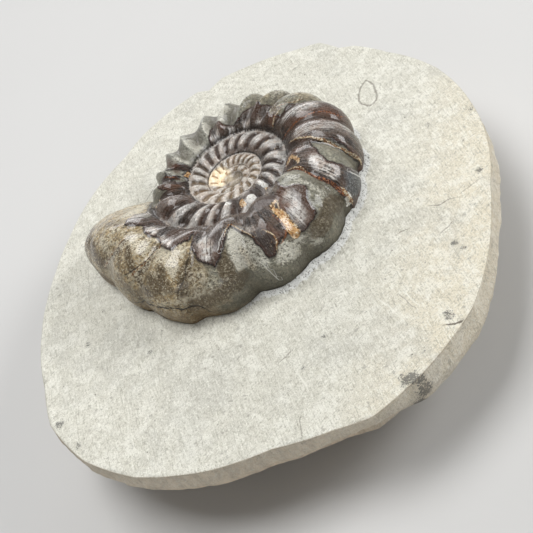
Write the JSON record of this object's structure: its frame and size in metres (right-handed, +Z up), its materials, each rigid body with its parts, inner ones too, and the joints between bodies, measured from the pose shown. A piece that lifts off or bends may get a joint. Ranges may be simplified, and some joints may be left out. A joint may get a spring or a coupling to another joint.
{
  "type": "ammonite fossil on rock slab",
  "caption": "Ribbed spiral ammonite standing half free of a thin rounded slab of pale limestone, which lies on a small flat underneath.",
  "frame": {"origin": "middle of the slab's footprint, at the level the slab rests on", "axes": "+Z up through the slab; -Y towards the viewer, with the fossil's mouth on the -X side"},
  "size_m": [0.0902, 0.0932, 0.0276],
  "materials": {
    "ammonite": "polished fossil: dark purple-brown shell remains over a grey-green to tan stone mould",
    "matrix": "matt pale grey limestone, finely speckled"
  },
  "bodies": {
    "root": {"ammonite": "ammonite", "matrix": "matrix"}
  },
  "joints": []
}
